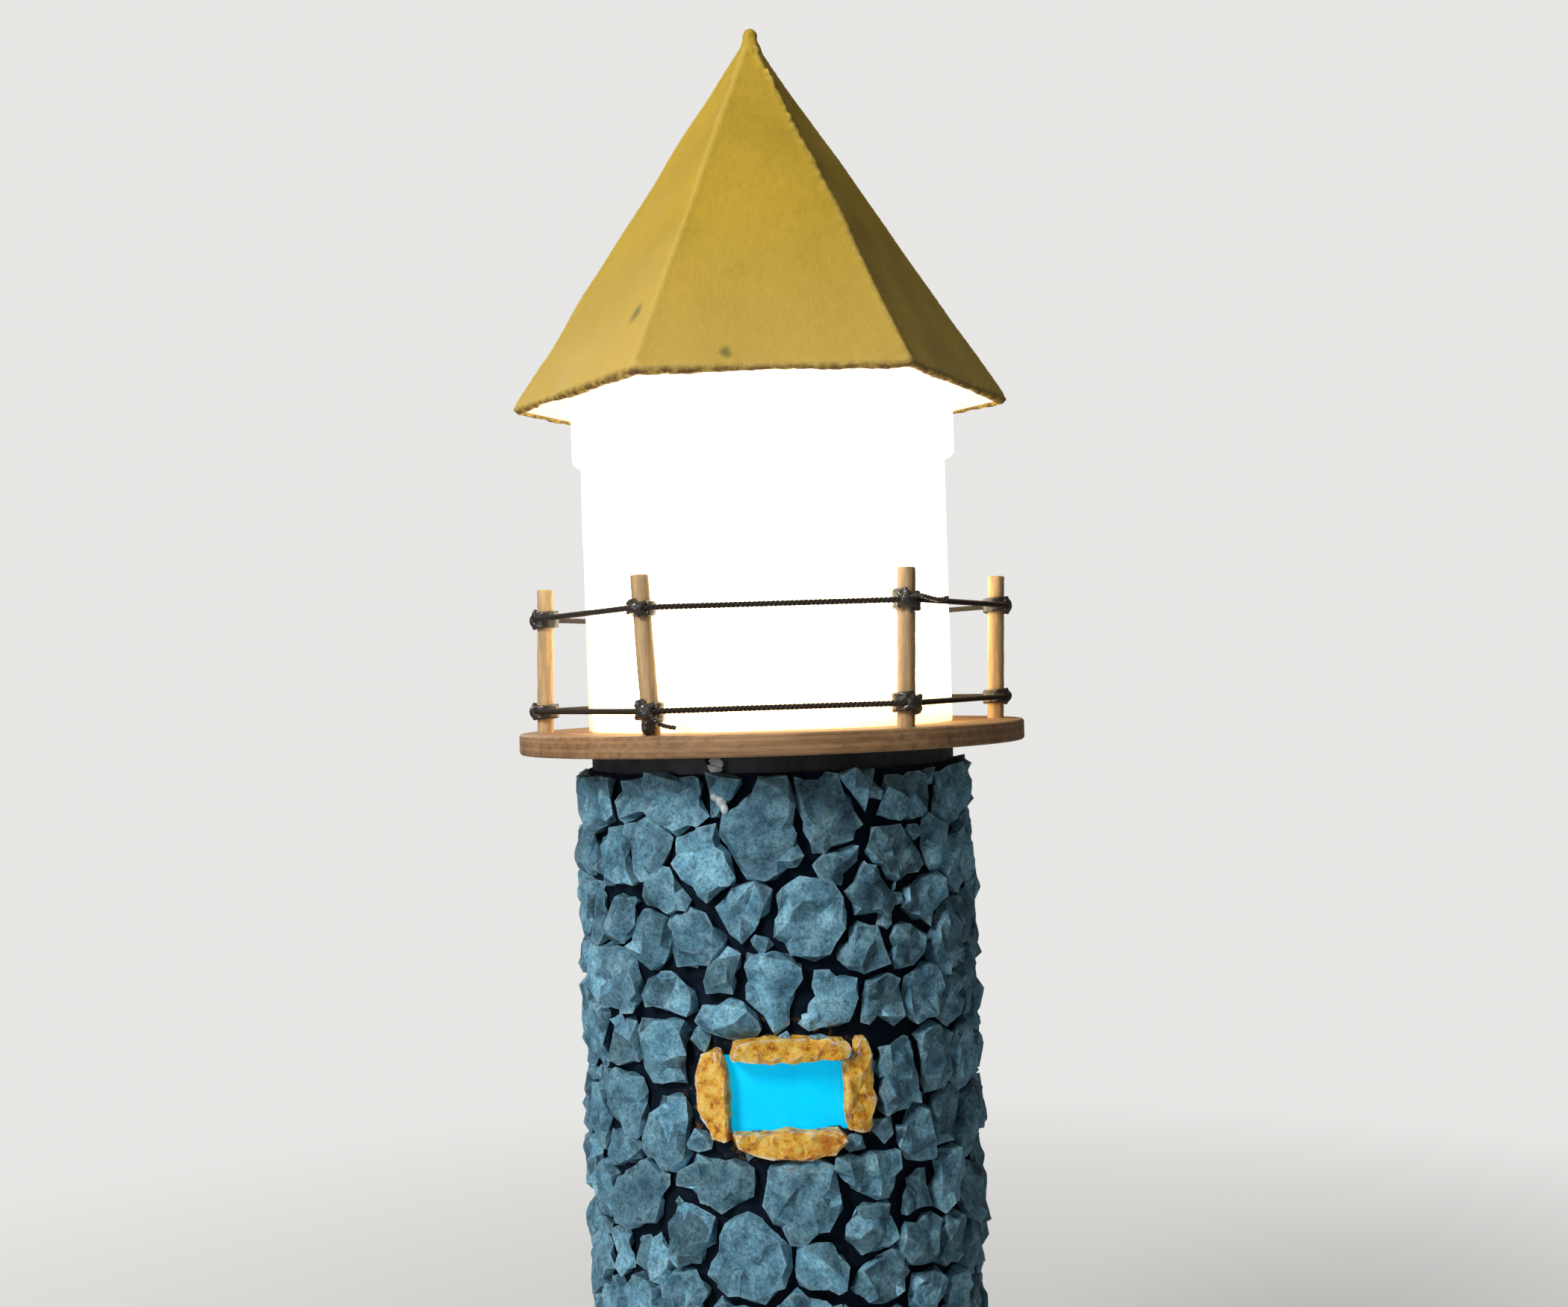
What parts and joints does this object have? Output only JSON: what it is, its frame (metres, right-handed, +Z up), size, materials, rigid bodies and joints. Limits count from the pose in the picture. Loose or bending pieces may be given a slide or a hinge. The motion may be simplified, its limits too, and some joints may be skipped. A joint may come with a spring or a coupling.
{
  "type": "garden lighthouse ornament",
  "caption": "Stone-clad round tower with a framed blue window, a wooden gallery with a corded railing, a lit round lantern and a lift-off pointed hexagonal roof.",
  "frame": {"origin": "middle of the base board's underside", "axes": "+Z up along the tower's axis; -Y to the front, where the window is; +X to the right seen from the front"},
  "size_m": [0.172, 0.172, 0.5503],
  "materials": {
    "ply": "bare plywood, sanded and slightly dirty",
    "ply_hidden": "bare plywood",
    "steel_screw": "zinc plated",
    "pipe_plastic": "dark, dull, dusty",
    "mortar": "dark bedding compound, rough",
    "slate_stone": "crushed blue-grey stone chips, rough",
    "window_film": "translucent blue sheet, satin",
    "ochre_stone": "stone chips painted ochre, worn to rust",
    "dowel": "bare dowel",
    "twine": "waxed dark twine",
    "lantern_plastic": "translucent white, smooth, lit from inside",
    "collar_plastic": "translucent white, smooth, lit from inside",
    "roof_paint": "brushed yellow-ochre paint, matt",
    "roof_tip_paint": "brushed yellow-ochre paint, matt",
    "holder_plastic": "moulded black, semi-gloss",
    "holder_ceramic": "unglazed white",
    "brass_part": "pressed, dull",
    "plated_steel": "zinc plated",
    "cable_sheath": "matt black sheath",
    "terminal_plastic": "moulded, off-white",
    "gland_plastic": "moulded nylon, dark grey",
    "seal_rubber": "soft black rubber",
    "bulb_glass": "opal white lamp dome",
    "bulb_plastic": "white moulded lamp body",
    "bulb_cap_metal": "nickel-plated lamp cap"
  },
  "bodies": {
    "root": {"base_board": "ply", "base_plug": "ply_hidden", "base_screws": "steel_screw", "collar_screws": "steel_screw", "diffuser_seat": "ply_hidden", "foot_screws": "steel_screw", "gallery_disc": "ply", "gallery_screws": "steel_screw", "gland_body": "gland_plastic", "gland_insert": "seal_rubber", "gland_locknut": "gland_plastic", "gland_nut": "gland_plastic", "gland_seal": "seal_rubber", "head_ring": "ply_hidden", "inner_flex": "cable_sheath", "lamp_nipple": "plated_steel", "lampholder_contact": "brass_part", "lampholder_core": "holder_ceramic", "lampholder_shell": "holder_plastic", "lampholder_thread": "brass_part", "lantern_diffuser": "lantern_plastic", "mortar_bed": "mortar", "nipple_nuts": "plated_steel", "rail_cord_lower": "twine", "rail_cord_upper": "twine", "rail_knots_lower": "twine", "rail_knots_upper": "twine", "rail_post_1": "dowel", "rail_post_2": "dowel", "rail_post_3": "dowel", "rail_post_4": "dowel", "rail_post_5": "dowel", "rail_post_6": "dowel", "stones_band_1": "slate_stone", "stones_band_2": "slate_stone", "stones_band_3": "slate_stone", "stones_band_4": "slate_stone", "stones_band_5": "slate_stone", "terminal_block": "terminal_plastic", "terminal_screws": "steel_screw", "tower_pipe": "pipe_plastic", "window_film": "window_film", "window_jamb_left": "ochre_stone", "window_jamb_right": "ochre_stone", "window_lintel": "ochre_stone", "window_sill": "ochre_stone"},
    "roof": {"roof_panel_1": "roof_paint", "roof_panel_2": "roof_paint", "roof_panel_3": "roof_paint", "roof_panel_4": "roof_paint", "roof_panel_5": "roof_paint", "roof_panel_6": "roof_paint", "roof_frame": "ply_hidden", "roof_collar": "collar_plastic", "roof_tip": "roof_tip_paint"},
    "bulb": {"bulb_globe": "bulb_glass", "bulb_neck": "bulb_plastic", "bulb_cap": "bulb_cap_metal", "bulb_contact": "bulb_cap_metal"}
  },
  "joints": [
    {"name": "roof_lift", "type": "slide", "parent": "root", "child": "roof", "axis": [0, 0, 1], "range_m": [0, 0.12]},
    {"name": "bulb_lift", "type": "slide", "parent": "root", "child": "bulb", "axis": [0, 0, 1], "range_m": [0, 0.025]}
  ]
}
